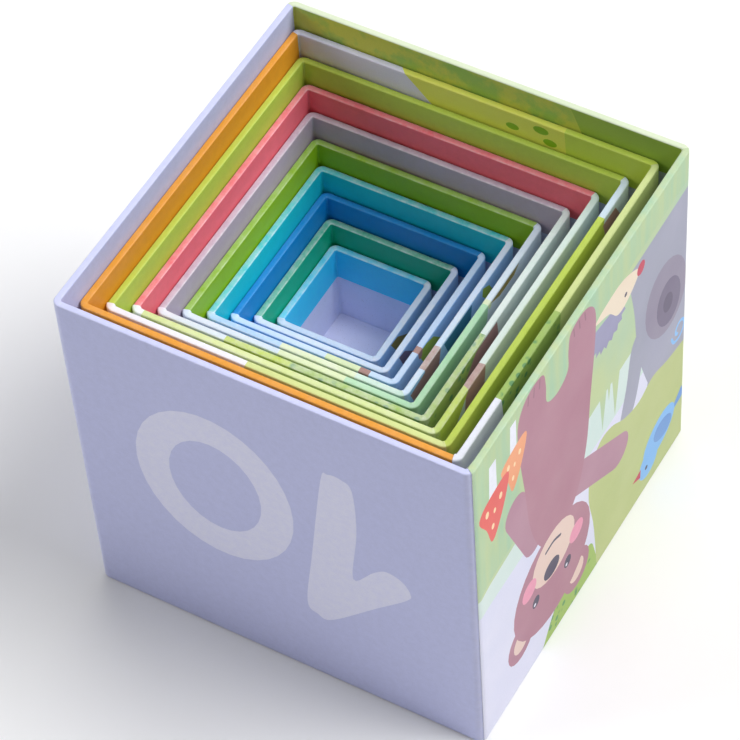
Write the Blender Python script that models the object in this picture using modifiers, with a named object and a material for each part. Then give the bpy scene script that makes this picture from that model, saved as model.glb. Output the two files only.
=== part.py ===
"""A nest of ten open-topped cardboard cubes, which also stack upside down into a tower.

Every cube is made as a rigid box is: a greyboard tray, a printed cover that runs up the walls, over
the rim and down inside and is turned under the base, a white lining, and a sheet that closes the base.
The cubes stand in one another, each pushed into the far left corner (-X, +Y) of the one around it.
The numbered side faces -Y and the side with the picture faces +X.
"""

import bmesh
import bpy

# Driving dimensions, in metres.
CUBE_COUNT = 10
LARGEST_WIDTH = 0.140
WIDTH_STEP = 0.01135  # how much narrower each cube is than the one around it
LOWER_THAN_WIDE = 0.0032  # every cube is this much lower than it is wide
BOARD = 0.0015
PAPER = 0.0002
GLUE = 0.00003  # the gap between two layers
CORNER_RADIUS = 0.0028  # the upright corners, on the outside of the cover
RIM_EASE = 0.0004  # the rim's two long edges
TURN_IN = 0.0135  # how far the cover runs down inside
TURN_UNDER = 0.012  # how far the cover runs in under the base
BASE_SHEET_INSET = 0.0025
LINING_BELOW_BOARD_TOP = 0.0005
CORNER_STEPS = 3
SIDE_GAP = 0.0003  # between a cube and the two walls it leans on
REST_GAP = 0.00005  # between a cube and the floor it stands on
TINY = 1e-6

# Heights above the underside of a cube.
COVER_BACK = PAPER + GLUE + PAPER  # the side of the cover that is glued to the board
BOARD_BOTTOM = COVER_BACK + GLUE
FLOOR_TOP = BOARD_BOTTOM + BOARD + GLUE + PAPER

# Depths inwards from the outside of a cube's wall.
BOARD_DEPTH = PAPER + GLUE
LINING_DEPTH = BOARD_DEPTH + BOARD + GLUE
TURN_IN_DEPTH = LINING_DEPTH + PAPER + GLUE
WALL = TURN_IN_DEPTH + PAPER

# Each cover's plain sides, from cube 1 to cube 10, as sRGB values.
COVER_COLOURS = (
    (0.24, 0.60, 0.87),
    (0.13, 0.53, 0.42),
    (0.10, 0.47, 0.74),
    (0.09, 0.57, 0.66),
    (0.47, 0.67, 0.22),
    (0.58, 0.55, 0.58),
    (0.79, 0.38, 0.42),
    (0.63, 0.73, 0.31),
    (0.92, 0.62, 0.25),
    (0.64, 0.65, 0.78),
)
GREYBOARD_COLOUR = (0.60, 0.57, 0.52)
LINING_COLOUR = (0.86, 0.86, 0.93)
BASE_SHEET_COLOUR = (0.88, 0.88, 0.90)


def clear_scene():
    for old in list(bpy.data.objects):
        bpy.data.objects.remove(old, do_unlink=True)


def linear(srgb):
    return [value / 12.92 if value <= 0.04045 else ((value + 0.055) / 1.055) ** 2.4 for value in srgb]


def paper_material(name, srgb, roughness):
    material = bpy.data.materials.new(name)
    material.use_nodes = True
    shader = material.node_tree.nodes["Principled BSDF"]
    shader.inputs["Base Color"].default_value = (*linear(srgb), 1.0)
    shader.inputs["Roughness"].default_value = roughness
    shader.inputs["Metallic"].default_value = 0.0
    material.diffuse_color = (*linear(srgb), 1.0)
    return material


def cube_width(number):
    return LARGEST_WIDTH - (CUBE_COUNT - number) * WIDTH_STEP


def cube_height(number):
    return cube_width(number) - LOWER_THAN_WIDE


def cube_place(number):
    """Where the middle of a cube's underside stands in the nest."""
    levels_in = CUBE_COUNT - number
    lean = WIDTH_STEP / 2 - WALL - SIDE_GAP
    return (-levels_in * lean, levels_in * lean, levels_in * (FLOOR_TOP + REST_GAP))


def rounded_block(width, low, high, radius):
    """A square block from low to high, with its upright edges rounded."""
    bm = bmesh.new()
    bmesh.ops.create_cube(bm, size=1.0)
    bmesh.ops.scale(bm, vec=(width, width, high - low), verts=bm.verts)
    bmesh.ops.translate(bm, vec=(0.0, 0.0, (low + high) / 2), verts=bm.verts)
    upright = [edge for edge in bm.edges if edge.verts[0].co.xy == edge.verts[1].co.xy]
    bmesh.ops.bevel(bm, geom=upright, offset=radius, segments=CORNER_STEPS, profile=0.5, affect="EDGES")
    return bm


def end_face(bm, direction):
    """The block's largest face at its end towards +Z or -Z."""
    ends = sorted(bm.faces, key=lambda face: direction * face.calc_center_median().z)
    end_z = ends[-1].calc_center_median().z
    level = [face for face in ends if abs(face.calc_center_median().z - end_z) < TINY]
    return max(level, key=lambda face: face.calc_area())


def inset(bm, face, thickness, depth=0.0):
    """Leaves a border round the face, or with a depth a straight wall, and shrinks the face itself."""
    bmesh.ops.inset_individual(bm, faces=[face], thickness=thickness, depth=depth, use_even_offset=True)


def square_underside(bm, radius):
    """Insets the underside by its corners' radius, which closes each corner to a point, and gives the square."""
    face = end_face(bm, -1)
    inset(bm, face, radius)
    bmesh.ops.remove_doubles(bm, verts=face.verts, dist=radius / 4)
    return end_face(bm, -1)


def hollow_from_top(bm, wall, depth):
    """Sinks the top face inside a rim of the wall's thickness, and gives the sunk face back."""
    top = end_face(bm, +1)
    inset(bm, top, wall)
    inset(bm, top, 0.0, depth=-depth)
    return top


def ease_rim(bm, rim_z):
    """A small flat along the rim's outer and inner edge."""
    level = [edge for edge in bm.edges if all(abs(vert.co.z - rim_z) < TINY for vert in edge.verts)]
    sharp = [edge for edge in level if edge.calc_face_angle() > 1.0]
    bmesh.ops.bevel(bm, geom=sharp, offset=RIM_EASE, segments=1, profile=0.5, affect="EDGES")


def remove_faces(bm, faces):
    bmesh.ops.delete(bm, geom=faces, context="FACES")


def placed(name, bm, material, stand, collection):
    """Makes the mesh an object that stands on the cube's empty."""
    mesh = bpy.data.meshes.new(name)
    bm.to_mesh(mesh)
    bm.free()
    mesh.materials.append(material)
    mesh.shade_smooth()
    mesh.set_sharp_from_angle(angle=0.6)
    piece = bpy.data.objects.new(name, mesh)
    piece.parent = stand
    collection.objects.link(piece)
    return piece


def thicken(piece):
    """Gives a sheet its paper's thickness, on the side that its faces look to."""
    solidify = piece.modifiers.new("paper", "SOLIDIFY")
    solidify.thickness = PAPER
    solidify.offset = 1.0
    solidify.use_even_offset = True
    solidify.use_quality_normals = True


def make_board(number, material, stand, collection):
    board_top = cube_height(number) - PAPER - GLUE
    width = cube_width(number) - 2 * BOARD_DEPTH
    bm = rounded_block(width, BOARD_BOTTOM, board_top, CORNER_RADIUS - BOARD_DEPTH)
    hollow_from_top(bm, BOARD, board_top - BOARD_BOTTOM - BOARD)
    ease_rim(bm, board_top)
    placed(f"cube_{number}_board_tray", bm, material, stand, collection)


def make_cover(number, material, stand, collection):
    rim_back = cube_height(number) - PAPER
    radius = CORNER_RADIUS - PAPER
    bm = rounded_block(cube_width(number) - 2 * PAPER, COVER_BACK, rim_back, radius)
    inner_face = hollow_from_top(bm, TURN_IN_DEPTH - PAPER, TURN_IN)
    under_face = square_underside(bm, radius)
    inset(bm, under_face, TURN_UNDER - radius)
    remove_faces(bm, [inner_face, under_face])
    ease_rim(bm, rim_back)
    thicken(placed(f"cube_{number}_printed_cover", bm, material, stand, collection))


def make_lining(number, material, stand, collection):
    """The inner skin of a block as wide as the board, hollowed to just inside the board's own hollow."""
    low = FLOOR_TOP - PAPER
    high = cube_height(number) - PAPER - GLUE - LINING_BELOW_BOARD_TOP
    width = cube_width(number) - 2 * BOARD_DEPTH
    bm = rounded_block(width, 0.0, high, CORNER_RADIUS - BOARD_DEPTH)
    floor = hollow_from_top(bm, LINING_DEPTH - BOARD_DEPTH, high - low)
    skin = {floor} | {face for edge in floor.edges for face in edge.link_faces}
    remove_faces(bm, [face for face in bm.faces if face not in skin])
    thicken(placed(f"cube_{number}_lining", bm, material, stand, collection))


def make_base_sheet(number, material, stand, collection):
    width = cube_width(number) - 2 * BASE_SHEET_INSET
    bm = rounded_block(width, 0.0, PAPER, CORNER_RADIUS / 2)
    placed(f"cube_{number}_base_sheet", bm, material, stand, collection)


def make_cube(number, shared, collection):
    stand = bpy.data.objects.new(f"cube_{number}", None)
    stand.location = cube_place(number)
    collection.objects.link(stand)
    cover_material = paper_material(f"cover_{number}", COVER_COLOURS[number - 1], 0.5)
    make_board(number, shared["greyboard"], stand, collection)
    make_cover(number, cover_material, stand, collection)
    make_lining(number, shared["lining"], stand, collection)
    make_base_sheet(number, shared["base_sheet"], stand, collection)


def main():
    clear_scene()
    collection = bpy.data.collections.new("stacking_cubes")
    bpy.context.scene.collection.children.link(collection)
    shared = {
        "greyboard": paper_material("greyboard", GREYBOARD_COLOUR, 0.9),
        "lining": paper_material("lining", LINING_COLOUR, 0.75),
        "base_sheet": paper_material("base_sheet", BASE_SHEET_COLOUR, 0.7),
    }
    for number in range(CUBE_COUNT, 0, -1):
        make_cube(number, shared, collection)


main()
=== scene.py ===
import functools
import math

import bpy
from mathutils import Matrix, Vector, noise
from mathutils.geometry import delaunay_2d_cdt


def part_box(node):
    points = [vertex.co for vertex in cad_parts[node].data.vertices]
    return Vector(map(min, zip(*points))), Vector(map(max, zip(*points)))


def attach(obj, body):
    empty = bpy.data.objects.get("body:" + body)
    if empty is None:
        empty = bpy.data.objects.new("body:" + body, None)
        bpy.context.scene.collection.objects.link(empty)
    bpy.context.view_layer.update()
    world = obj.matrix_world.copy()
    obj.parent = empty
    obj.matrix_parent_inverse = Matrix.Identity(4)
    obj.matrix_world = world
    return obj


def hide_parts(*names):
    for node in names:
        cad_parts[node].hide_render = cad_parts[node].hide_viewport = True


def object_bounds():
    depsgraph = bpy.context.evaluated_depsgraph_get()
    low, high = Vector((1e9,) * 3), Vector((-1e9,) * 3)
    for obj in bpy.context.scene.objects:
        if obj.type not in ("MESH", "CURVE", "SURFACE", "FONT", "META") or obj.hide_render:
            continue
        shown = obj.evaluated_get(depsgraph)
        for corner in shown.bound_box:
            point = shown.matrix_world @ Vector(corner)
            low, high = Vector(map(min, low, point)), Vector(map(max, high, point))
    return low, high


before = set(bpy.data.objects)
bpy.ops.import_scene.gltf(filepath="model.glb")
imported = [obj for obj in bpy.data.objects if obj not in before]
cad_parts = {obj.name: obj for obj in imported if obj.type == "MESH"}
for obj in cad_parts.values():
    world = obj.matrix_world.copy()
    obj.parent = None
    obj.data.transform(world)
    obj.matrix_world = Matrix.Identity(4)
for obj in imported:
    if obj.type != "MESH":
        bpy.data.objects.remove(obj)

cad_low, cad_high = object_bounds()

# ---------------------------------------------------------------------------------------------
# Sizes. A cover is laid out flat in millimetres and folded into the frame's metres.
# ---------------------------------------------------------------------------------------------
MM = 0.001
CUBE_COUNT = 10
PAPER = 0.2  # the cover's thickness
GLUE = 0.03  # the gap between two layers
CORNER_RADIUS = 2.8  # the upright corners, on the printed side
RIM_RADIUS = 0.42  # the rim's two long edges
FOOT_RADIUS = 0.6  # the edge round the base
TURN_IN = 13.5
TURN_UNDER = 12.0
LAP = 1.5  # how far the cover's beginning lies over its end
TIGHTEST = 0.05  # the smallest radius that a corner folds to
CORNER_STEPS = 8
EDGE_STEPS = 4
CRUMPLE = 0.05  # how far the rim's paper stands off the board here and there
WAVE_LENGTH = 7.0  # the size of those small waves along the rim
WAVE_WIDTH = 3.0  # and across it
WAVE_SHIFT = 9.0  # how far the next cube's waves lie in the noise
RIM_PITCH = 3.0  # the spacing of the points that follow the waves
CALM = 2.0  # how far down the inside the waves die out
TUFT = 0.2  # how far the folded paper stands off at the rim's corners
TUFT_LENGTH = 1.5  # how far that reaches along the rim
TUFT_WIDTH = 1.3  # and across it
OVER = 1.0  # how far a fold line runs past the sheet's ends
JOINED = 0.00001  # points of the sheet nearer than this become one
SLOPE_STEP = 0.1  # how far to each side the paper's slope is measured

# Cubes 9 and 10 stand with their numbered side towards -Y, and the others towards -X.
PICTURE_SIDE_ANGLE = {number: 0.0 if number >= 9 else -90.0 for number in range(1, CUBE_COUNT + 1)}
# How much of the corner before it the picture covers, where the paper's two ends meet.
SEAM_SHARE = {number: 0.35 if number == 10 else 0.85 for number in range(1, CUBE_COUNT + 1)}
PICTURE_END_SHARE = 0.85  # how much of the corner after it the second picture covers
# How much each cube's print is whitened along its edges: partly rubbed print and partly a painted sheen on the
# rims, set cube by cube to how pale its rims look.
EDGE_WEAR_AND_SHEEN = {1: 1.0, 2: 1.0, 3: 0.1, 4: 1.0, 5: 0.5, 6: 0.9, 7: 0.6, 8: 0.1, 9: 0.15, 10: 0.3}
CORNER_WEAR = 0.8  # the upright corners' share of the whitening that the rim's edges and the foot get; on the corners it is rubbed print
RIM_WEAR_AND_SHEEN = 0.5  # the share of the rim's flat top, partly rubbed print and partly painted sheen


# ---------------------------------------------------------------------------------------------
# Camera, floor and light
# ---------------------------------------------------------------------------------------------
CAMERA_AIM = Vector((-0.0226, 0.0253, 0.0272))
CAMERA_DISTANCE = 1.118
CAMERA_AZIMUTH = math.radians(33.15)
CAMERA_ELEVATION = math.radians(50.93)
CAMERA_ROLL = math.radians(-4.71)
CAMERA_LENS = 166.1
SENSOR_WIDTH = 36.0
CAMERA_REACH = 20.0
LIGHT_DISTANCE = 5.0
# Each softbox: its name, azimuth and elevation in degrees, diameter in metres and power in watts.
SOFTBOXES = (("key_softbox", 118, 52, 3.6, 258.0), ("left_softbox", -60, 28, 2.9, 86.0),
             ("back_softbox", 205, 52, 3.8, 56.0), ("top_softbox", 0, 88, 2.5, 38.0))
SKY_LIGHT = 0.02
FLOOR_REACH = 6.0
FLOOR_GAP = 0.00005  # the floor lies this far below the base, so that the two never coincide
FLOOR_COLOUR = (0.88, 0.88, 0.88, 1.0)


def direction(azimuth, elevation):
    """The unit vector from the object towards a place: azimuth 0 is -Y, and 90 degrees is +X."""
    level = math.cos(elevation)
    return Vector((math.sin(azimuth) * level, -math.cos(azimuth) * level, math.sin(elevation)))


def make_camera():
    camera = bpy.data.objects.new("camera", bpy.data.cameras.new("camera"))
    camera.data.lens = CAMERA_LENS
    camera.data.sensor_width = SENSOR_WIDTH
    camera.data.clip_end = CAMERA_REACH
    back = direction(CAMERA_AZIMUTH, CAMERA_ELEVATION)
    turn = back.to_track_quat("Z", "Y").to_matrix() @ Matrix.Rotation(CAMERA_ROLL, 3, "Z")
    camera.matrix_world = Matrix.Translation(CAMERA_AIM + back * CAMERA_DISTANCE) @ turn.to_4x4()
    bpy.context.scene.collection.objects.link(camera)
    bpy.context.scene.camera = camera


def area_light(name, azimuth, elevation, size, power):
    """A round softbox, far enough away to light the highest pose as evenly as the nest."""
    light = bpy.data.lights.new(name, "AREA")
    light.shape = "DISK"
    light.size = size
    light.energy = power
    lamp = bpy.data.objects.new(name, light)
    towards = direction(math.radians(azimuth), math.radians(elevation))
    lamp.location = CAMERA_AIM + towards * LIGHT_DISTANCE
    lamp.rotation_euler = towards.to_track_quat("Z", "Y").to_euler()
    bpy.context.scene.collection.objects.link(lamp)


def make_studio():
    world = bpy.data.worlds.new("studio")
    bpy.context.scene.world = world
    world.use_nodes = True
    background = world.node_tree.nodes["Background"]
    background.inputs["Color"].default_value = (1.0, 1.0, 1.0, 1.0)
    background.inputs["Strength"].default_value = SKY_LIGHT
    for softbox in SOFTBOXES:
        area_light(*softbox)
    bpy.context.scene.view_settings.view_transform = "Standard"


def make_floor():
    mesh = bpy.data.meshes.new("floor")
    corners = [(x * FLOOR_REACH, y * FLOOR_REACH, 0) for x, y in ((-1, -1), (1, -1), (1, 1), (-1, 1))]
    mesh.from_pydata(corners, [], [(0, 1, 2, 3)])
    floor = bpy.data.objects.new("floor", mesh)
    floor.location.z = cad_low.z - FLOOR_GAP
    bpy.context.scene.collection.objects.link(floor)
    material = bpy.data.materials.new("floor_sweep")
    material.use_nodes = True
    shader = material.node_tree.nodes["Principled BSDF"]
    shader.inputs["Base Color"].default_value = FLOOR_COLOUR
    shader.inputs["Roughness"].default_value = 0.9
    mesh.materials.append(material)


# ---------------------------------------------------------------------------------------------
# Materials
# ---------------------------------------------------------------------------------------------
def linear(srgb):
    return [c / 12.92 if c <= 0.04045 else ((c + 0.055) / 1.055) ** 2.4 for c in (v / 255 for v in srgb)]


def shade(srgb, factor=1.0):
    """The colour as a node takes it, with its light scaled."""
    return tuple(min(1.0, value * factor) for value in linear(srgb)) + (1.0,)


class Nodes:
    """A short way to write a material's nodes."""

    def __init__(self, name):
        self.material = bpy.data.materials.new(name)
        self.material.use_nodes = True
        self.tree = self.material.node_tree
        self.shader = self.tree.nodes["Principled BSDF"]
        self.coords = self.tree.nodes.new("ShaderNodeTexCoord").outputs["Object"]

    def link(self, source, target):
        self.tree.links.new(source, target)

    def stretched(self, scale):
        mapping = self.tree.nodes.new("ShaderNodeMapping")
        mapping.inputs["Scale"].default_value = scale
        self.link(self.coords, mapping.inputs["Vector"])
        return mapping.outputs["Vector"]

    def noise(self, scale, detail=2.0, roughness=0.5, coords=None):
        node = self.tree.nodes.new("ShaderNodeTexNoise")
        node.inputs["Scale"].default_value = scale
        node.inputs["Detail"].default_value = detail
        node.inputs["Roughness"].default_value = roughness
        self.link(coords or self.coords, node.inputs["Vector"])
        return node.outputs["Fac"]

    def cells(self, scale):
        node = self.tree.nodes.new("ShaderNodeTexVoronoi")
        node.inputs["Scale"].default_value = scale
        self.link(self.coords, node.inputs["Vector"])
        return node.outputs["Distance"]

    def ramp(self, value, low, high, low_out=0.0, high_out=1.0):
        node = self.tree.nodes.new("ShaderNodeMapRange")
        ends = {"From Min": low, "From Max": high, "To Min": low_out, "To Max": high_out}
        for name, number in ends.items():
            node.inputs[name].default_value = number
        self.link(value, node.inputs["Value"])
        return node.outputs["Result"]

    def times(self, a, b):
        node = self.tree.nodes.new("ShaderNodeMath")
        node.operation = "MULTIPLY"
        self.link(a, node.inputs[0])
        self.link(b, node.inputs[1])
        return node.outputs["Value"]

    def mix(self, factor, a, b):
        node = self.tree.nodes.new("ShaderNodeMix")
        node.data_type = "RGBA"
        self.link(factor, node.inputs["Factor"])
        for socket, value in ((node.inputs["A"], a), (node.inputs["B"], b)):
            if isinstance(value, tuple):
                socket.default_value = value
            else:
                self.link(value, socket)
        return node.outputs["Result"]

    def attribute(self, name):
        node = self.tree.nodes.new("ShaderNodeAttribute")
        node.attribute_name = name
        return node.outputs["Fac"]

    def bump(self, height, distance, strength=1.0, normal=None):
        node = self.tree.nodes.new("ShaderNodeBump")
        node.inputs["Distance"].default_value = distance
        node.inputs["Strength"].default_value = strength
        self.link(height, node.inputs["Height"])
        if normal:
            self.link(normal, node.inputs["Normal"])
        return node.outputs["Normal"]

    def finish(self, colour, roughness, normal, specular=0.5, coat=0.0, coat_roughness=0.3):
        self.link(colour, self.shader.inputs["Base Color"])
        self.link(roughness, self.shader.inputs["Roughness"])
        self.link(normal, self.shader.inputs["Normal"])
        self.shader.inputs["Specular IOR Level"].default_value = specular
        self.shader.inputs["Coat Weight"].default_value = coat
        self.shader.inputs["Coat Roughness"].default_value = coat_roughness
        return self.material


PAPER_WHITE = (238, 238, 243)

# The inks of one tone.
PLAIN_INKS = {
    "lavender": (197, 201, 240), "orange": (228, 152, 36), "lime": (184, 206, 78), "red": (240, 108, 124),
    "mauve": (182, 168, 188), "green": (138, 184, 14), "teal": (16, 194, 214), "blue": (0, 132, 206),
    "emerald": (0, 172, 132), "sky_blue": (52, 206, 255), "numeral_10": (226, 227, 255),
    "white": (232, 234, 246), "paper_back": PAPER_WHITE, "hollow_deep": (98, 88, 114),
    "bear_line": (150, 102, 122), "blush": (228, 150, 176), "ink_dark": (74, 66, 92),
    "cherry": (196, 56, 84), "cap_dot": (250, 214, 170),
}
# The inks of two tones. They mix in brush strokes unless PATTERNS says otherwise.
MIXED_INKS = {
    "sky": ((226, 226, 245), (218, 220, 242)),
    "mist": ((206, 226, 222), (214, 230, 226)),
    "pale_blue": ((205, 224, 242), (216, 230, 245)),
    "light_blue": ((156, 203, 253), (165, 208, 255)),
    # a paler copy of light_blue for the rims: painted light, for their lit tops
    "rim_blue": ((196, 220, 255), (203, 225, 255)),
    "meadow": ((166, 202, 168), (188, 206, 154)),
    "far_meadow": ((176, 204, 172), (192, 208, 156)),
    "pale_meadow": ((216, 228, 196), (210, 224, 190)),
    "pale_lime": ((220, 233, 186), (214, 230, 190)),
    "pale_mint": ((204, 232, 220), (196, 228, 214)),
    "pale_olive": ((214, 226, 150), (206, 220, 142)),
    "olive_brown": ((150, 136, 70), (160, 146, 84)),
    "thicket": ((212, 218, 92), (168, 206, 94)),
    "moss": ((206, 226, 84), (198, 220, 80)),
    "olive_lime": ((234, 236, 100), (228, 232, 94)),
    "grey_white": ((222, 222, 244), (228, 228, 248)),
    "deep_teal": ((60, 132, 168), (50, 120, 156)),
    "olive": ((190, 200, 136), (184, 196, 130)),
    "deep_green": ((160, 192, 74), (170, 198, 80)),
    "mint": ((178, 222, 184), (160, 212, 170)),
    "foliage": ((160, 190, 96), (92, 150, 92)),
    "trunk": ((164, 165, 186), (158, 160, 178)),
    "hollow_light": ((150, 142, 163), (144, 136, 158)),
    "hollow_dark": ((120, 110, 136), (116, 106, 130)),
    "bear": ((180, 128, 146), (174, 121, 140)),
    "bear_far_limb": ((182, 136, 156), (176, 130, 150)),
    "bear_pale": ((232, 206, 194), (228, 200, 190)),
    "bird": ((136, 192, 244), (128, 184, 240)),
    "bird_wing": ((104, 150, 214), (110, 158, 220)),
    "spines": ((156, 154, 188), (144, 142, 176)),
    "cream": ((240, 224, 202), (236, 218, 196)),
    "cap_red": ((236, 104, 96), (228, 92, 88)),
    "cap_orange": ((246, 170, 124), (240, 158, 112)),
    "brown": ((176, 138, 134), (166, 128, 124)),
    "yellow": ((248, 224, 120), (244, 216, 110)),
}
PATTERNS = {"meadow": "grass", "thicket": "foliage", "foliage": "leaves"}
SECOND_TONE = 1.03  # how much lighter a plain ink gets in places

# The ground of each cube's two plain sides, from cube 1 to cube 10.
GROUNDS = ("sky_blue", "emerald", "blue", "teal", "green", "mauve", "red", "lime", "orange", "lavender")
NUMERAL_PALENESS = 0.52  # how far a numeral is from its ground towards white
for number, ground in enumerate(GROUNDS[:-1], 1):  # numeral_10 is above
    PLAIN_INKS[f"numeral_{number}"] = tuple(round(v + (255 - v) * NUMERAL_PALENESS) for v in PLAIN_INKS[ground])

MOTTLE = 0.06  # how far the print darkens here and there
MOTTLE_COLOUR = (70, 70, 80)
WEAR_AND_SHEEN_WHITENING = 0.75  # how far the print goes towards white along an edge: rubbed print, and on the rims also a painted sheen


def pattern_factor(nodes, pattern):
    """0 to 1 between an ink's two tones. Scales are in waves per metre."""
    if pattern == "leaves":
        specks = nodes.ramp(nodes.cells(330.0), 0.30, 0.42, 1.0, 0.0)
        return nodes.times(specks, nodes.ramp(nodes.noise(90.0), 0.45, 0.55))
    if pattern == "grass":
        blades = nodes.stretched((1.0, 1.0, 0.12))
        return nodes.ramp(nodes.noise(130.0, 3.0, 0.6, blades), 0.35, 0.65)
    if pattern == "foliage":
        return nodes.ramp(nodes.noise(95.0, 5.0, 0.65), 0.44, 0.60)
    if pattern == "brush":
        return nodes.ramp(nodes.noise(28.0, 3.0, 0.55), 0.35, 0.65)
    return nodes.ramp(nodes.noise(400.0, 4.0, 0.6), 0.3, 0.7)


@functools.cache
def ink_material(name):
    """Offset print under a matt film: two close tones, paper fibres, a soft unevenness, and edges whitened by
    rubbing and, on the rims, by a painted sheen.
    """
    if name in MIXED_INKS:
        colour, second = MIXED_INKS[name]
        pattern = PATTERNS.get(name, "brush")
    else:
        colour, pattern = PLAIN_INKS[name], "plain"
        second = tuple(min(255, round(v * SECOND_TONE)) for v in colour)
    nodes = Nodes("ink_" + name)
    print_colour = nodes.mix(pattern_factor(nodes, pattern), shade(colour), shade(second))
    mottle = nodes.ramp(nodes.noise(1500.0, 3.0, 0.7), 0.25, 0.75, 0.0, MOTTLE)
    print_colour = nodes.mix(mottle, print_colour, shade(MOTTLE_COLOUR))
    # whitens the print along the edges: rubbed print, and on the rims a painted sheen
    wear_and_sheen = nodes.attribute("wear_and_sheen")
    patches = nodes.ramp(nodes.noise(260.0, 4.0, 0.7), 0.25, 0.65, 0.0, WEAR_AND_SHEEN_WHITENING)
    print_colour = nodes.mix(nodes.times(wear_and_sheen, patches), print_colour, shade(PAPER_WHITE))
    film = nodes.ramp(nodes.noise(60.0, 3.0), 0.3, 0.7, 0.42, 0.52)
    grain = nodes.bump(nodes.noise(1800.0, 2.0), 0.00002, 0.5)
    surface = nodes.bump(nodes.noise(45.0, 2.0), 0.0006, 0.12, grain)
    return nodes.finish(print_colour, film, surface, specular=0.3, coat=0.04, coat_roughness=0.35)


def board_material():
    nodes = Nodes("greyboard_fibres")
    fibres = nodes.ramp(nodes.noise(900.0, 5.0, 0.7, nodes.stretched((1.0, 0.3, 1.0))), 0.3, 0.7)
    colour = nodes.mix(fibres, shade((150, 143, 132)), shade((176, 169, 157)))
    rough = nodes.ramp(nodes.noise(300.0), 0.3, 0.7, 0.85, 0.95)
    return nodes.finish(colour, rough, nodes.bump(nodes.noise(1200.0, 4.0), 0.00005), specular=0.3)


def plain_paper_material(name, srgb):
    """Uncoated white paper: faint cloudiness, fibres and a few darker flecks."""
    nodes = Nodes(name)
    clouds = nodes.ramp(nodes.noise(120.0, 4.0, 0.6), 0.3, 0.7)
    colour = nodes.mix(clouds, shade(srgb, 0.97), shade(srgb, 1.02))
    flecks = nodes.ramp(nodes.noise(2400.0, 1.0), 0.68, 0.74, 0.0, 0.25)
    colour = nodes.mix(flecks, colour, shade((150, 146, 150)))
    rough = nodes.ramp(nodes.noise(200.0), 0.3, 0.7, 0.68, 0.8)
    fibres = nodes.bump(nodes.noise(2000.0, 3.0), 0.00003, 0.6)
    return nodes.finish(colour, rough, nodes.bump(nodes.noise(70.0), 0.0004, 0.15, fibres), specular=0.35)


# ---------------------------------------------------------------------------------------------
# A cover: painted flat, then folded
# ---------------------------------------------------------------------------------------------
def smooth_step(t):
    t = min(1.0, max(0.0, t))
    return t * t * (3 - 2 * t)


def line_through(stops, place):
    """The height at a place on the lines through the stops, each (place, height), and 0 past their ends."""
    for (start, low), (end, high) in zip(stops, stops[1:]):
        if start <= place <= end:
            return low + (high - low) * (place - start) / (end - start)
    return 0.0


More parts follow.
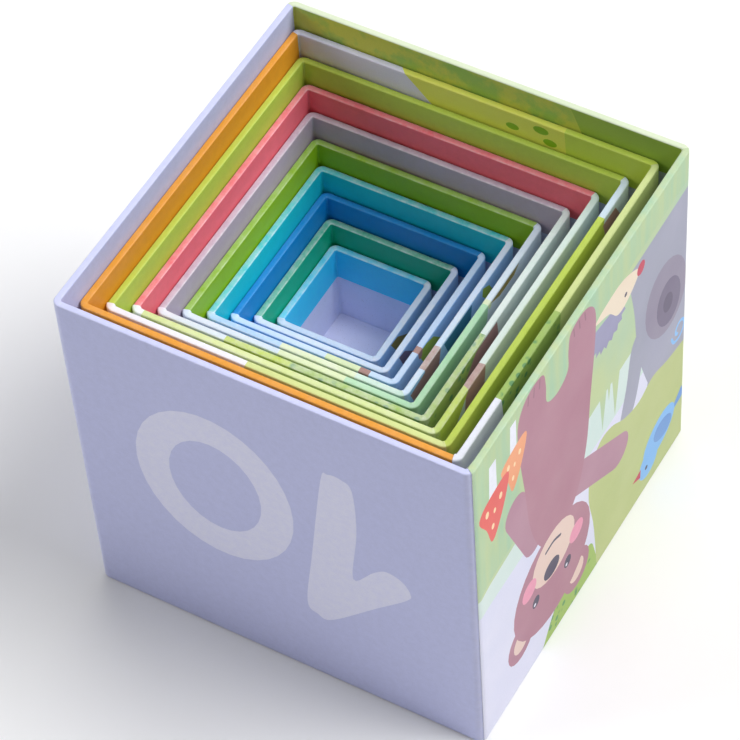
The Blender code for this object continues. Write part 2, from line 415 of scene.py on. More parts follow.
class Cover:
    """One cube's printed paper, in millimetres.

    Flat, u runs once round the cube from the corner where the paper overlaps, anticlockwise seen from above,
    and v runs from the paper turned under the base, up the wall, over the rim and down inside.
    """

    def __init__(self, number):
        low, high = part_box(f"cube_{number}_printed_cover")
        lining_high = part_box(f"cube_{number}_lining")[1]
        self.number = number
        self.foot = Vector(((low.x + high.x) / 2, (low.y + high.y) / 2, low.z))
        self.half = (high.x - low.x) / 2 / MM
        self.height = (high.z - low.z) / MM
        self.rim = (high.x - lining_high.x) / MM + 2 * PAPER + GLUE
        self.straight = 2 * (self.half - CORNER_RADIUS)
        self.arc = math.pi / 2 * CORNER_RADIUS
        self.pitch = self.straight + self.arc
        self.girth = 4 * self.pitch
        self.edge = math.pi / 2 * RIM_RADIUS
        self.foot_arc = math.pi / 2 * FOOT_RADIUS
        self.wall = self.height - FOOT_RADIUS - RIM_RADIUS
        self.rim_flat = self.rim - 2 * RIM_RADIUS
        self.v_start = -self.foot_arc - (TURN_UNDER - FOOT_RADIUS)
        self.v_rim = self.wall + self.edge / 2
        self.v_inner_edge = self.wall + self.edge + self.rim_flat
        self.v_calm = self.v_inner_edge + self.edge + CALM
        self.v_end = self.v_inner_edge + self.edge + TURN_IN - RIM_RADIUS
        self.u_start = -self.arc * SEAM_SHARE[number]
        self.u_end = self.u_start + self.girth + LAP
        self.shapes = []

    # The flat sheet

    def on_side(self, side, x, y):
        """Where a point of a side's picture lies. x is to its right, and y goes from the rim to the base."""
        return side * self.pitch + self.straight / 2 - x, self.v_rim - y

    def paint(self, points, ink):
        """Lays one more shape over those before. The triangulation reads only anticlockwise outlines."""
        area = sum(a[0] * b[1] - b[0] * a[1] for a, b in zip(points, points[1:] + points[:1]))
        self.shapes.append((points if area > 0 else points[::-1], ink))

    def paint_span(self, left, right, ink):
        self.paint([(left, self.v_start), (right, self.v_start), (right, self.v_end), (left, self.v_end)], ink)

    def paint_pictures(self, ink):
        self.paint_span(self.u_start, 2 * self.pitch, ink)

    def paint_plain_sides(self, ink):
        self.paint_span(2 * self.pitch - self.arc * (1 - PICTURE_END_SHARE), self.u_end, ink)

    def corner_middles(self):
        return [side * self.pitch - self.arc / 2 for side in range(5)]

    def fold_lines(self):
        """The places in u and in v where the paper starts or stops bending, and the steps between them."""
        us = [self.u_start + LAP, self.u_start + LAP + self.arc / 2]
        for side in range(-1, 4):
            start = side * self.pitch + self.straight
            us += [start + self.arc * step / CORNER_STEPS for step in range(CORNER_STEPS + 1)]
        us = [u for u in us if self.u_start < u < self.u_end]
        vs = [-self.foot_arc * step / EDGE_STEPS for step in range(EDGE_STEPS + 1)]
        for start in (self.wall, self.v_inner_edge):
            vs += [start + self.edge * step / EDGE_STEPS for step in range(EDGE_STEPS + 1)]
        vs += [self.wall + self.edge + self.rim_flat / 2, self.v_calm]
        return us, vs

    def rim_lines(self):
        """Extra places in u on the rim, where its paper is a little wavy."""
        us = []
        for side in range(4):
            count = max(4, round(self.straight / RIM_PITCH))
            us += [side * self.pitch + self.straight * step / count for step in range(1, count)]
        return us

    def triangles(self):
        """(points, triangles, ink of each) of the flat sheet, cut along every fold and every painted edge."""
        points, edges, faces = [], [], []

        def add(path, closed):
            start = len(points)
            points.extend(Vector(point) for point in path)
            if closed:
                faces.append(list(range(start, start + len(path))))
            else:
                edges.append((start, start + 1))

        # Under the base the lap is cut away, so that the paper's two ends meet there.
        lap_end = self.u_start + LAP
        add([(self.u_start, -self.foot_arc), (lap_end, -self.foot_arc), (lap_end, self.v_start),
             (self.u_end, self.v_start), (self.u_end, self.v_end), (self.u_start, self.v_end)], True)
        us, vs = self.fold_lines()
        for u in us:
            add([(u, self.v_start - OVER), (u, self.v_end + OVER)], False)
        for v in vs:
            add([(self.u_start - OVER, v), (self.u_end + OVER, v)], False)
        for u in self.rim_lines():
            add([(u, self.wall), (u, self.v_calm)], False)
        for outline, _ink in self.shapes:
            add(outline, True)
        places, _, parts, _, _, outlines = delaunay_2d_cdt(points, edges, faces, 0, JOINED, True)
        numbers, flat, triangles, inks = {}, [], [], []
        for part, within in zip(parts, outlines):
            if 0 not in within:  # outside the sheet, which was the first outline
                continue
            for corner in part:
                if corner not in numbers:
                    numbers[corner] = len(flat)
                    flat.append(tuple(places[corner]))
            triangles.append([numbers[corner] for corner in part])
            inks.append(self.shapes[max(within) - 1][1])
        return flat, triangles, inks

    # The folded sheet

    def profile(self, v):
        """How deep in from the wall's face and how high a point lies, and the way it faces, outwards and up."""
        if v < -self.foot_arc:
            return FOOT_RADIUS - self.foot_arc - v, 0.0, 0.0, -1.0
        if v < 0:
            angle = v / FOOT_RADIUS
            return (FOOT_RADIUS * (1 - math.cos(angle)), FOOT_RADIUS * (1 + math.sin(angle)),
                    math.cos(angle), math.sin(angle))
        if v <= self.wall:
            return 0.0, FOOT_RADIUS + v, 1.0, 0.0
        v -= self.wall
        shoulder = self.height - RIM_RADIUS
        if v < self.edge:
            angle = v / RIM_RADIUS
            return (RIM_RADIUS * (1 - math.cos(angle)), shoulder + RIM_RADIUS * math.sin(angle),
                    math.cos(angle), math.sin(angle))
        v -= self.edge
        if v <= self.rim_flat:
            return RIM_RADIUS + v, self.height, 0.0, 1.0
        v -= self.rim_flat
        if v < self.edge:
            angle = v / RIM_RADIUS
            return (self.rim - RIM_RADIUS * (1 - math.sin(angle)), shoulder + RIM_RADIUS * math.cos(angle),
                    -math.sin(angle), math.cos(angle))
        return self.rim, shoulder - (v - self.edge), -1.0, 0.0

    def plan(self, u, depth):
        """Where a point lies seen from above, and the angle that the wall faces there."""
        side, along = divmod(u, self.pitch)
        reach = max(CORNER_RADIUS - depth, TIGHTEST)
        centre = self.half - depth - reach
        turn = math.radians(PICTURE_SIDE_ANGLE[self.number]) + side * math.pi / 2
        if along <= self.straight:
            angle = 0.0
            x, y = self.half - depth, (2 * along / self.straight - 1) * centre
        else:
            angle = (along - self.straight) / CORNER_RADIUS
            x, y = centre + reach * math.cos(angle), centre + reach * math.sin(angle)
        return (x * math.cos(turn) - y * math.sin(turn), x * math.sin(turn) + y * math.cos(turn), turn + angle)

    def lift(self, u, v):
        """How far the paper stands off its even shape: the lap, the folded corners and the rim's waves."""
        lap = (PAPER + GLUE) * smooth_step(1 - (u - self.u_start - LAP) / self.arc)
        lap *= smooth_step(1 + v / self.foot_arc)
        across = math.exp(-(((v - self.v_inner_edge) / TUFT_WIDTH) ** 2))
        along = max(math.exp(-(((u - middle) / TUFT_LENGTH) ** 2)) for middle in self.corner_middles())
        near_rim = smooth_step((v - self.wall) / self.edge) * smooth_step((self.v_calm - v) / CALM)
        place = Vector((u / WAVE_LENGTH, v / WAVE_WIDTH, self.number * WAVE_SHIFT))
        wave = CRUMPLE * (0.5 + 0.5 * noise.noise(place))
        return lap + TUFT * along * across + near_rim * wave

    def folded(self, u, v):
        """Where a point of the flat sheet ends up in the frame."""
        depth, height, out, up = self.profile(v)
        x, y, angle = self.plan(u, depth)
        facing = Vector((math.cos(angle) * out, math.sin(angle) * out, up))
        return self.foot + (Vector((x, y, height)) + facing * self.lift(u, v)) * MM

    def wear_and_sheen(self, u, v):
        """How far the print is whitened, by rubbing and on the rim also by a painted sheen: most along the
        rounded edges, less on the rim and not on the flats.
        """
        along = u % self.pitch - self.straight
        outside = along > 0 and v < self.v_inner_edge
        corner = math.sin(math.pi * along / self.arc) if outside else 0.0
        foot = line_through(((-self.foot_arc, 0), (-self.foot_arc / 2, 1), (0, 0)), v)
        rim = line_through(((self.wall, 0), (self.v_rim, 1), (self.wall + self.edge, RIM_WEAR_AND_SHEEN),
                            (self.v_inner_edge, RIM_WEAR_AND_SHEEN), (self.v_inner_edge + self.edge / 2, 1),
                            (self.v_inner_edge + self.edge, 0)), v)
        return EDGE_WEAR_AND_SHEEN[self.number] * max(corner * CORNER_WEAR, foot, rim)

    def facing(self, u, v):
        """The way the folded paper faces, bumps and all."""
        along = self.folded(u + SLOPE_STEP, v) - self.folded(u - SLOPE_STEP, v)
        upwards = self.folded(u, v + SLOPE_STEP) - self.folded(u, v - SLOPE_STEP)
        return along.cross(upwards).normalized()

    def build(self):
        """Folds the sheet, gives it a back and edges, and puts it in the frame in place of the plain cover."""
        flat, triangles, inks = self.triangles()
        front = [self.folded(u, v) for u, v in flat]
        facing = [self.facing(u, v) for u, v in flat]
        count = len(front)
        points = front + [place - way * PAPER * MM for place, way in zip(front, facing)]
        names = sorted(set(inks)) + ["paper_back"]
        faces = list(triangles)
        normals = [facing[corner] for triangle in triangles for corner in triangle]
        slots = [names.index(ink) for ink in inks]
        edges = {(triangle[i], triangle[(i + 1) % 3]) for triangle in triangles for i in range(3)}
        for a, b, c in triangles:
            faces.append([c + count, b + count, a + count])
            normals += [-facing[c], -facing[b], -facing[a]]
        for a, b in sorted(edges):
            if (b, a) in edges:
                continue
            faces.append([b, a, a + count, b + count])
            normals += [(points[b] - points[a]).cross(facing[a]).normalized()] * 4
        slots += [len(names) - 1] * (len(faces) - len(triangles))
        mesh = bpy.data.meshes.new(f"cube_{self.number}_cover")
        mesh.from_pydata(points, [], faces)
        for name in names:
            mesh.materials.append(ink_material(name))
        mesh.polygons.foreach_set("material_index", slots)
        # the whitening along the edges: partly rubbing, and partly a painted sheen on the rims
        wear_and_sheen = mesh.attributes.new("wear_and_sheen", "FLOAT", "POINT")
        wear_and_sheen.data.foreach_set("value", [self.wear_and_sheen(u, v) for u, v in flat] * 2)
        mesh.shade_smooth()
        mesh.normals_split_custom_set(normals)
        piece = bpy.data.objects.new(f"cube_{self.number}_cover", mesh)
        bpy.context.scene.collection.objects.link(piece)
        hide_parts(f"cube_{self.number}_printed_cover")
        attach(piece, f"cube_{self.number}")


# ---------------------------------------------------------------------------------------------
# Pictures
# ---------------------------------------------------------------------------------------------
ART_WIDTH = 140.0  # the pictures are drawn for the largest cube and scaled to fit the others
BELOW = -17.0  # a height under the end of the turn-in
PLAIN_SIDE = 3  # the side that shows the number. Sides 0 and 1 show the pictures.


def smooth_line(points, closed=False, steps=5):
    """A Catmull-Rom curve through the points."""
    count = len(points)
    line = []
    for index in range(count if closed else count - 1):
        if closed:
            near = [points[(index + k) % count] for k in (-1, 0, 1, 2)]
        else:
            near = [points[min(max(index + k, 0), count - 1)] for k in (-1, 0, 1, 2)]
        for step in range(steps):
            t = step / steps
            weights = (-t + 2 * t * t - t ** 3, 2 - 5 * t * t + 3 * t ** 3,
                       t + 4 * t * t - 3 * t ** 3, t ** 3 - t * t)
            line.append(tuple(sum(w * p[axis] for w, p in zip(weights, near)) / 2 for axis in (0, 1)))
    if not closed:
        line.append(points[-1])
    return line


def polar(reach, angle):
    return reach * math.cos(angle), reach * math.sin(angle)


class Picture:
    """One side of a cover, seen with the cube standing on its rim.

    x runs to the right from the middle of the side, and y up from the rim. Below y = 0 the paper is on the rim
    and the turn-in, where a millimetre isn't scaled.
    """

    def __init__(self, cover, side):
        self.cover = cover
        self.side = side
        self.scale = 2 * cover.half / ART_WIDTH
        self.right = cover.straight / 2 + cover.arc * (SEAM_SHARE[cover.number] if side == 0 else 0.5)
        self.left = cover.straight / 2 + cover.arc * (PICTURE_END_SHARE if side == 1 else 0.5)

    def paint(self, points, ink):
        """Anything past this side's share of a corner is left to the next side."""
        flat = [(min(max(x * self.scale, -self.left), self.right), y * self.scale if y > 0 else y)
                for x, y in points]
        self.cover.paint([self.cover.on_side(self.side, x, y) for x, y in flat], ink)

    def shape(self, ink, points):
        """The same as paint, given in the order of the things in PICTURES."""
        self.paint(points, ink)

    def ellipse(self, x, y, width, height, ink, tilt=0.0):
        """width and height are the half axes, and tilt is in degrees, anticlockwise."""
        count = 8 + 2 * round(math.sqrt(max(width, height)) * 2.2)  # a larger one has more corners
        turn = math.radians(tilt)
        points = []
        for index in range(count):
            angle = 2 * math.pi * index / count
            a, b = width * math.cos(angle), height * math.sin(angle)
            points.append((x + a * math.cos(turn) - b * math.sin(turn),
                           y + a * math.sin(turn) + b * math.cos(turn)))
        self.paint(points, ink)

    def blob(self, points, ink):
        self.paint(smooth_line(points, closed=True), ink)

    def stroke(self, points, width, ink):
        """A line of even width with round ends."""
        line = smooth_line(points) if len(points) > 2 else points
        sides = []
        for index, (x, y) in enumerate(line):
            x0, y0 = line[max(index - 1, 0)]
            x1, y1 = line[min(index + 1, len(line) - 1)]
            length = math.hypot(x1 - x0, y1 - y0)
            nx, ny = (y0 - y1) / length * width / 2, (x1 - x0) / length * width / 2
            sides.append(((x + nx, y + ny), (x - nx, y - ny)))
        for (a, b), (c, d) in zip(sides, sides[1:]):
            self.paint([a, c, d, b], ink)
        for x, y in (line[0], line[-1]):
            self.ellipse(x, y, width / 2, width / 2, ink)

    def hill(self, crest, ink):
        """Everything below a crest line that runs from left to right."""
        self.paint([(crest[0][0], BELOW)] + smooth_line(crest) + [(crest[-1][0], BELOW)], ink)

    def mound(self, start, end, ink, top):
        """A rounded heap on the rim. start and end are shares of the side's width, from its right edge at 0."""
        left, right = (0.5 - end) * ART_WIDTH, (0.5 - start) * ART_WIDTH
        middle, half = (left + right) / 2, (right - left) / 2
        points = [(right, BELOW), (right, 0.0)]
        for index in range(1, 12):
            across = math.cos(math.pi * index / 12)
            points.append((middle + half * across, top * (1 - abs(across) ** 3) ** 0.5))
        points += [(left, 0.0), (left, BELOW)]
        self.paint(points, ink)

    # What the pictures show

    def cloud(self, x, y, size):
        pen = Pen(self, x, y, size)
        for dx, dy, radius in ((-1.0, 0.0, 0.55), (-0.3, 0.35, 0.75), (0.55, 0.2, 0.6), (1.1, -0.05, 0.4)):
            pen.ellipse(dx, dy, radius, radius * 0.8, "white")

    def sun(self, x, y, radius):
        pen = Pen(self, x, y, radius)
        pen.ellipse(0, 0, 1, 1, "yellow")
        for index in range(12):
            angle = math.pi * index / 6
            pen.stroke([polar(1.25, angle), polar(1.6, angle)], 0.14, "yellow")

    def tree(self, x, y, size):
        pen = Pen(self, x, y, size)
        pen.paint([(-0.16, 0), (0.16, 0), (0.09, 1), (-0.09, 1)], "trunk")
        for dx, dy, radius in ((-0.42, 1.0, 0.45), (0.42, 1.05, 0.42), (0.0, 1.4, 0.55), (0.0, 1.0, 0.4)):
            pen.ellipse(dx, dy, radius, radius * 0.9, "olive")

    def mushroom(self, x, y, size, cap):
        pen = Pen(self, x, y, size)
        pen.paint([(-0.06, 0), (0.06, 0), (0.08, 0.5), (-0.06, 0.5)], "white")
        pen.blob([(-0.27, 0.42), (-0.16, 0.78), (0.04, 1.04), (0.14, 0.78), (0.27, 0.5), (0, 0.4)], cap)
        dots = ((-0.12, 0.58, 0.028), (0.03, 0.84, 0.025), (0.12, 0.58, 0.03), (-0.01, 0.66, 0.022))
        for dx, dy, radius in dots:
            pen.ellipse(dx, dy, radius, radius * 1.5, "cap_dot")

    def flower(self, x, y, size, petals):
        pen = Pen(self, x, y, size)
        pen.stroke([(0, 0), (0.1, 0.5), (0, 1)], 0.08, "deep_green")
        for index in range(6):
            dx, dy = polar(0.2, math.pi * index / 3)
            pen.ellipse(dx, 1 + dy, 0.16, 0.16, petals)
        pen.ellipse(0, 1, 0.12, 0.12, "yellow")

    def swirl(self, x, y, radius, ink):
        Pen(self, x, y, radius).stroke([polar(1 - turn / 14, turn * 0.8) for turn in range(10)], 0.24, ink)

    def grass(self, x, y, height, ink):
        Pen(self, x, y, height).paint([(-0.13, 0), (0.13, 0), (0.03, 1)], ink)

    def bird(self, x, y, size):
        pen = Pen(self, x, y, size)
        pen.paint([(-0.5, 0), (-1.35, -0.1), (-1.2, -0.5)], "bird_wing")
        pen.ellipse(0, 0, 0.85, 0.58, "bird", 14)
        pen.ellipse(0.55, 0.5, 0.5, 0.48, "bird")
        pen.ellipse(-0.2, 0.02, 0.5, 0.33, "bird_wing", -18)
        pen.paint([(0.98, 0.64), (1.4, 0.42), (0.96, 0.34)], "cherry")
        pen.ellipse(0.66, 0.6, 0.07, 0.07, "ink_dark")

    def hedgehog(self, x, y, size):
        pen = Pen(self, x, y, size)
        spikes = []  # a fan of long and short ones over its back
        for index in range(26):
            angle = -0.5 + 3.7 * index / 25
            reach = 0.98 if index % 2 else 0.82
            spikes.append((reach * math.cos(angle), reach * 0.85 * math.sin(angle)))
        pen.paint(spikes, "spines")
        pen.blob([(-1.55, -0.2), (-1.0, 0.22), (-0.45, 0.25), (0.0, -0.25), (0.7, -0.6), (-0.3, -0.75),
                  (-1.0, -0.6)], "cream")
        pen.ellipse(-0.85, -0.06, 0.07, 0.07, "ink_dark")
        pen.ellipse(-1.62, -0.2, 0.2, 0.21, "cherry")

    def bear(self, x, y, size):
        """A plain standing bear, waving. It is 136 units tall."""
        pen = Pen(self, x, y, size)
        pen.stroke([(-12, 76), (-40, 94)], 13.5, "bear_far_limb")
        pen.stroke([(16, 72), (27, 46)], 13, "bear_far_limb")
        half = [(0, 88), (11, 83), (18, 66), (21, 44), (24, 22), (24, 8), (18, 1.5), (9, 2), (7, 9), (6.5, 17)]
        pen.blob([*half, (0, 20), *[(-dx, dy) for dx, dy in reversed(half[1:])]], "bear")
        for side in (-1, 1):
            for dx in (10.5, 14.0, 17.5):
                pen.stroke([(side * dx, 2.5), (side * (dx + 0.4), 6)], 0.7, "bear_line")
        for dx, dy in ((-11, 122), (26, 114)):
            pen.ellipse(dx, dy, 8.5, 8.5, "bear")
            pen.ellipse(dx, dy, 4.8, 4.8, "bear_pale")
        pen.ellipse(5, 103, 25.5, 22, "bear", -12)
        pen.ellipse(4, 94, 14, 11, "bear_pale", -12)
        for dx, dy in ((-11, 101), (20, 95)):
            pen.ellipse(dx, dy, 4.6, 4.2, "blush")
        for dx, dy in ((-5, 110), (16, 105.5)):
            pen.ellipse(dx, dy, 2.3, 2.6, "ink_dark")
            pen.ellipse(dx + 0.7, dy + 0.9, 0.7, 0.7, "white")
        pen.ellipse(5.5, 100.5, 5.2, 3.8, "ink_dark", -12)
        pen.stroke([(-0.5, 90.5), (4, 88.5), (9, 88.7)], 1.2, "ink_dark")


class Pen:
    """Draws on a picture from a thing's own place and in units of its own size."""

    def __init__(self, art, x, y, size):
        self.art = art
        self.x = x
        self.y = y
        self.size = size

    def at(self, places):
        return [(self.x + dx * self.size, self.y + dy * self.size) for dx, dy in places]

    def paint(self, places, ink):
        self.art.paint(self.at(places), ink)

    def blob(self, places, ink):
        self.art.blob(self.at(places), ink)

    def stroke(self, places, width, ink):
        self.art.stroke(self.at(places), width * self.size, ink)

    def ellipse(self, dx, dy, width, height, ink, tilt=0.0):
        self.art.ellipse(*self.at([(dx, dy)])[0], width * self.size, height * self.size, ink, tilt)


def waving_bear(art):
    """The picture that faces +X on the largest cube."""
    art.hill([(-90, 71), (-40, 73), (0, 73), (40, 72), (90, 71)], "mist")
    art.hill([(-90, 53), (-30, 54), (0, 55), (40, 60), (90, 64)], "far_meadow")
    art.hill([(-90, 12), (-20, 14), (5, 30), (30, 54), (60, 60), (90, 63)], "meadow")
    for x, height in ((-20, 26), (-11.5, 24), (-15.5, 14), (8, 20)):
        art.grass(x, 47, height, "far_meadow")
    art.blob([(-8, 160), (-5, 125), (1, 119), (12, 121), (24, 127), (32, 150)], "foliage")
    art.blob([(-37, 70), (-31, 85), (-22, 86), (-27, 68), (-31, 52), (-40, 50)], "trunk")
    trunk = smooth_line([(-42, 82), (-37, 68), (-34, 55), (-32, 38), (-29, 24), (-27, 16)])
    art.paint([(-95, 92), (-40, 92), *trunk, (-95, 15)], "trunk")
    crown = smooth_line([(-8, 155), (-5, 115), (-1.5, 96), (-3, 82), (-9, 75), (-17, 76), (-26, 82), (-36, 85),
                         (-46, 83), (-60, 87), (-95, 92)])
    art.paint([(-95, 155), *crown], "olive")
    art.ellipse(-54, 53, 13.5, 18, "hollow_light", 24)
    art.ellipse(-56, 57, 8, 11, "hollow_dark", 18)
    art.ellipse(-55.5, 57, 3.2, 4.6, "hollow_deep", 18)
    art.swirl(-64, 79, 5.2, "bird")
    art.bird(-51, 118, 13.5)
    art.hedgehog(-15, 23, 13)
    art.bear(18, 0, 1.0)
    art.mushroom(45, 4, 29, "cap_orange")
    art.mushroom(57.5, 8, 34, "cap_red")


def forest_edge(art):
    """The picture that faces +Y on the largest cube, round the corner from the bear."""
    art.hill([(-90, 66), (-30, 74), (20, 70), (90, 71)], "mist")
    art.hill([(-90, 40), (-30, 52), (20, 58), (90, 53)], "far_meadow")
    art.hill([(-90, 30), (-40, 30), (0, 20), (30, 12), (60, 14), (95, 12)], "deep_green")
    art.shape("pale_meadow", [(-90, BELOW), (90, BELOW), (90, 12), (30, 9), (-30, 9), (-90, 14)])
    art.shape("deep_green", [(20, BELOW), (90, BELOW), (90, -2.2), (20, -2.2)])
    art.shape("thicket", [(-90, BELOW), (36, BELOW), (30, -2.2), (-90, -2.2)])
    trunk = smooth_line([(49, 74), (47, 48), (44, 28), (38, 15)])
    art.paint([(95, 92), (50, 92), *trunk, (95, 15)], "trunk")
    crown = smooth_line([(12, 155), (16, 120), (12, 96), (22, 84), (38, 88), (52, 82), (70, 88), (95, 92)])
    art.paint([(95, 155), *crown], "olive")
    art.tree(-46, 36, 34)
    art.cloud(-30, 116, 12)
    art.bird(-12, 86, 10)
    for x, y, size in ((-20, 36, 20), (-4, 32, 17), (10, 34, 21)):
        art.flower(x, y, size, "blush")
    art.mushroom(24, 16, 26, "cap_red")


def meadow(art, far, near, things):
    """Hills, and then what stands in front of them, each as (kind, settings)."""
    art.hill([(-90, 72), (-35, 80), (15, 70), (90, 76)], far)
    art.hill([(-90, 46), (-40, 50), (0, 58), (45, 52), (90, 44)], near)
    if near == "light_blue":  # a paler copy of the same blue on the rim: painted light, for a rim top that is lit more than the wall
        art.shape("rim_blue", [(-90, BELOW), (90, BELOW), (90, 0), (-90, 0)])
    for kind, *settings in things:
        getattr(art, kind)(*settings)


# The two pictures of each cube: far hills, near hills, and what stands in front of them.
PICTURES = {
    9: (("mist", "pale_olive", [
        ("mound", -0.1, 0.215, "white", 30), ("mound", 0.2, 0.485, "foliage", 26), ("tree", 22, 50, 40),
        ("bird", -30, 100, 12), ("hedgehog", -30, 34, 13),
    ]), ("white", "lime", [
        ("shape", "moss", [(36, BELOW), (35, 0), (35, 20), (90, 46), (90, BELOW)]),
        ("shape", "olive_lime", [(36, BELOW), (35, 0), (16, 44), (-90, 44), (-90, BELOW)]),
        ("shape", "grey_white", [(-10, BELOW), (-28, 0), (-36, 18), (-90, 34), (-90, BELOW)]),
        ("ellipse", 26.2, -5.0, 2.9, 1.6, "green"), ("ellipse", 15.4, -7.8, 2.5, 1.4, "green"),
        ("ellipse", 29.6, -9.2, 2.6, 1.5, "green"), ("cloud", -20, 112, 14),
        ("flower", -30, 40, 26, "cap_orange"), ("flower", 0, 46, 30, "blush"), ("sun", 38, 108, 11),
    ])),
    8: (("mist", "lime", [
        ("mound", -0.1, 0.42, "white", 26), ("mound", 0.42, 1.1, "pale_olive", 30),
        ("mushroom", -20, 30, 46, "cap_red"), ("mushroom", 14, 34, 30, "cap_orange"), ("cloud", 26, 110, 12),
    ]), ("mist", "lime", [
        ("mound", 0.84, 1.1, "pale_blue", 24), ("mound", -0.1, 0.845, "lime", 34),
        ("shape", "brown", [(-47, 2.5), (-57, 2.5), (-62, 12), (-50, 14)]), ("tree", -14, 40, 44),
        ("bird", 30, 96, 13),
    ])),
    7: (("mist", "lime", [
        ("mound", -0.1, 0.04, "white", 12), ("mound", 0.04, 1.1, "pale_olive", 22),
        ("ellipse", -3, 3, 2.5, 1.6, "white"), ("tree", 28, 44, 36), ("tree", -34, 46, 42),
        ("hedgehog", 4, 36, 14),
    ]), ("pale_blue", "mist", [
        ("shape", "brown", [(48, BELOW), (46, 0), (56, 60), (38, 60), (30, 0), (33, BELOW)]),
        ("shape", "lime", [(90, BELOW), (90, 40), (64, 30), (54, 10), (44, 0), (36, BELOW)]),
        ("ellipse", 44, 74, 24, 18, "olive"), ("ellipse", 30, 62, 14, 11, "deep_green"),
        ("cloud", -28, 110, 13), ("bird", -20, 60, 13),
    ])),
    6: (("pale_blue", "mint", [
        ("mound", -0.1, 0.26, "pale_blue", 24), ("mound", 0.26, 0.56, "lime", 30),
        ("mound", 0.5, 1.1, "foliage", 34), ("flower", 20, 36, 30, "cap_red"), ("flower", 0, 40, 34, "yellow"),
        ("cloud", -20, 112, 13),
    ]), ("pale_blue", "mist", [
        ("shape", "brown", [(26, 1), (36, 12), (34, 74), (12, 74), (10, 30), (3, 10), (4, 1)]),
        ("shape", "foliage", [(90, BELOW), (90, 34), (52, 26), (36, 12), (24, 1.5), (14, 0), (14, BELOW)]),
        ("ellipse", 18, 88, 24, 19, "olive"), ("ellipse", 34, 74, 13, 12, "deep_green"), ("bird", -34, 98, 12),
        ("hedgehog", -26, 22, 14),
    ])),
    5: (("pale_blue", "mint", [
        ("mound", -0.1, 0.42, "pale_blue", 20), ("mound", 0.42, 0.72, "pale_lime", 26),
        ("mound", 0.7, 1.1, "mint", 34), ("tree", -36, 34, 44), ("sun", 34, 106, 12),
    ]), ("pale_blue", "pale_blue", [
        ("mound", -0.1, 0.555, "mint", 30), ("mound", 0.555, 0.58, "pale_lime", 4),
        ("shape", "olive_brown", [(-10, 1), (-42, 1), (-36, 5), (-20, 5)]), ("mushroom", 28, 24, 50, "cap_red"),
        ("cloud", -26, 100, 15),
    ])),
    4: (("light_blue", "pale_mint", [
        ("mound", -0.1, 0.38, "light_blue", 20), ("mound", 0.38, 0.75, "pale_lime", 24),
        ("mound", 0.75, 1.1, "pale_mint", 30), ("bird", 0, 80, 16), ("cloud", -34, 112, 11),
    ]), ("light_blue", "light_blue", [
        ("shape", "deep_teal", [(22, 1.5), (-13, 1.5), (-10, 18), (14, 24)]),
        ("shape", "brown", [(46, BELOW), (46, 2), (64, 4), (60, 14), (36, 40), (26, 0), (28, BELOW)]),
        ("shape", "deep_green", [(-27, 1.5), (-35, 6), (-43, 22), (-33, 18), (-26, 8)]),
        ("ellipse", 18, 52, 26, 18, "mint"), ("sun", -34, 104, 11),
    ])),
    3: (("light_blue", "light_blue", [
        ("shape", "deep_green", [(-11, 1.5), (-41, 1.5), (-46, 30), (-24, 20)]),
        ("mound", 0.58, 0.785, "pale_lime", 1.5), ("mound", 0.78, 0.84, "brown", 44),
        ("ellipse", -43, 58, 20, 18, "mint"), ("hedgehog", 26, 34, 15),
    ]), ("light_blue", "light_blue", [
        ("shape", "deep_green", [(36, 1), (30, 16), (4, 40), (0, 20), (14, 4), (24, 1)]),
        ("mound", 0.24, 0.285, "brown", 8), ("flower", 20, 40, 36, "cap_orange"),
        ("flower", -16, 36, 34, "cherry"), ("cloud", -24, 108, 14),
    ])),
    2: (("light_blue", "light_blue", [
        ("mushroom", 0, 26, 60, "cap_red"),
    ]), ("light_blue", "light_blue", [
        ("shape", "hollow_dark", [(46, 2), (36, 3), (18, 22), (22, 34), (40, 18)]), ("tree", -20, 20, 46),
        ("cloud", 30, 108, 13),
    ])),
    1: (("light_blue", "light_blue", [
        ("bird", -4, 66, 34),
    ]), ("light_blue", "light_blue", [
        ("shape", "olive_brown", [(36, 3), (20, 4), (-24, 40), (-20, 52), (24, 26)]),
        ("flower", 0, 36, 52, "cherry"),
    ])),
}

NUMERAL_MIDDLE = 64  # the height of a numeral's middle in its picture
NUMERAL_SIZE = (46, 36)  # how large one unit of its box is, across and up
NUMERAL_STROKE = 13
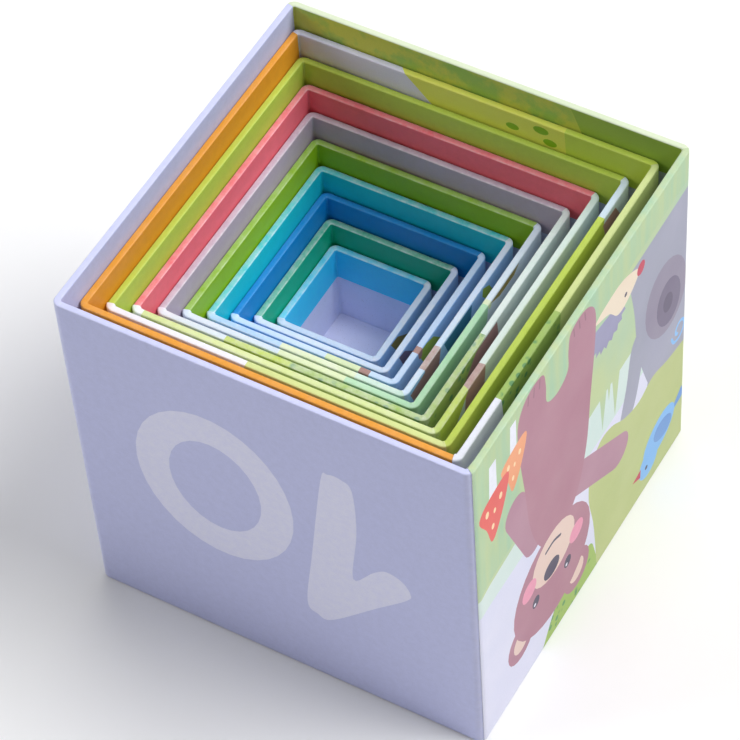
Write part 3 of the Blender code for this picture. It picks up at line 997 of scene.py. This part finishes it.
# Each numeral as strokes through points in a box 1 wide and 2 tall. Two points make a straight stroke.
NUMERALS = {
    1: [[(0.15, 1.0), (-0.05, -1.0)], [(0.15, 1.0), (-0.55, 0.2)]],
    2: [[(-0.55, 0.55), (-0.25, 0.95), (0.3, 0.95), (0.52, 0.5), (0.2, -0.1), (-0.55, -0.95)],
        [(-0.55, -0.97), (0.6, -0.97)]],
    3: [[(-0.5, 0.8), (0.0, 1.0), (0.45, 0.7), (0.3, 0.22), (-0.12, 0.08)],
        [(-0.12, 0.08), (0.42, -0.08), (0.55, -0.6), (0.1, -1.0), (-0.5, -0.85)]],
    4: [[(0.1, 1.0), (-0.6, -0.35)], [(-0.6, -0.35), (0.6, -0.35)], [(0.25, 0.25), (0.2, -1.0)]],
    5: [[(0.5, 0.97), (-0.35, 0.97)], [(-0.35, 0.97), (-0.48, 0.12)],
        [(-0.48, 0.12), (0.1, 0.28), (0.55, -0.15), (0.45, -0.75), (0.0, -1.0), (-0.55, -0.8)]],
    6: [[(0.35, 1.0), (-0.25, 0.5), (-0.55, -0.25), (-0.38, -0.82), (0.08, -1.0), (0.48, -0.72), (0.48, -0.28),
         (0.1, -0.02), (-0.3, -0.15), (-0.52, -0.42)]],
    7: [[(-0.55, 0.97), (0.55, 0.97)], [(0.55, 0.97), (-0.15, -1.0)]],
    8: [[(0.0, 0.0), (-0.4, 0.3), (-0.35, 0.8), (0.0, 0.98), (0.35, 0.8), (0.4, 0.3), (0.0, 0.0)],
        [(0.0, 0.0), (-0.5, -0.35), (-0.45, -0.85), (0.0, -1.02), (0.45, -0.85), (0.5, -0.35), (0.0, 0.0)]],
    9: [[(-0.35, -1.0), (0.25, -0.5), (0.55, 0.25), (0.38, 0.82), (-0.08, 1.0), (-0.48, 0.72), (-0.48, 0.28),
         (-0.1, 0.02), (0.3, 0.15), (0.52, 0.42)]],
}

# The sky on the pictures of cubes 1 to 10.
SKIES = ("light_blue",) * 4 + ("pale_blue",) * 3 + ("sky",) * 3


def paint_numeral(cover, ground):
    art = Picture(cover, PLAIN_SIDE)
    ink = f"numeral_{cover.number}"
    if cover.number in NUMERALS:
        across, up = NUMERAL_SIZE
        for line in NUMERALS[cover.number]:
            art.stroke([(x * across, NUMERAL_MIDDLE + y * up) for x, y in line], NUMERAL_STROKE, ink)
        return
    # The 1 and the 0 of the largest cube, as in the photo.
    art.blob([(-19.3, 31.8), (-21.9, 27.6), (-26.4, 27.4), (-29.9, 31.2), (-30.2, 51), (-27.5, 76), (-35, 68),
              (-39.5, 64.8), (-44.7, 66.4), (-47.4, 71), (-46, 75.2), (-34.5, 87), (-18.4, 103.5),
              (-13.3, 103.6), (-9.9, 98.7), (-13.5, 72)], ink)
    art.ellipse(19.6, 58.7, 27.6, 33.4, ink)
    art.ellipse(19.3, 58.4, 16.1, 20.5, ground)


def print_cover(number):
    cover = Cover(number)
    ground = GROUNDS[number - 1]
    cover.paint_pictures(SKIES[number - 1])
    if number == CUBE_COUNT:
        forest_edge(Picture(cover, 1))
        waving_bear(Picture(cover, 0))
    else:
        for side, (far, near, things) in enumerate(PICTURES[number]):
            meadow(Picture(cover, side), far, near, things)
    cover.paint_plain_sides(ground)
    paint_numeral(cover, ground)
    cover.build()


# ---------------------------------------------------------------------------------------------
# The whole
# ---------------------------------------------------------------------------------------------
def finish_boards():
    """Gives the pieces that keep their CAD shape their materials."""
    materials = {
        "_board_tray": board_material(),
        "_lining": plain_paper_material("lining_paper", (222, 226, 255)),
        "_base_sheet": plain_paper_material("base_paper", (232, 232, 238)),
    }
    for name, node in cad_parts.items():
        for suffix, material in materials.items():
            if name.endswith(suffix):
                node.data.materials.clear()
                node.data.materials.append(material)


make_camera()
make_floor()
make_studio()
finish_boards()
for number in range(1, CUBE_COUNT + 1):
    print_cover(number)
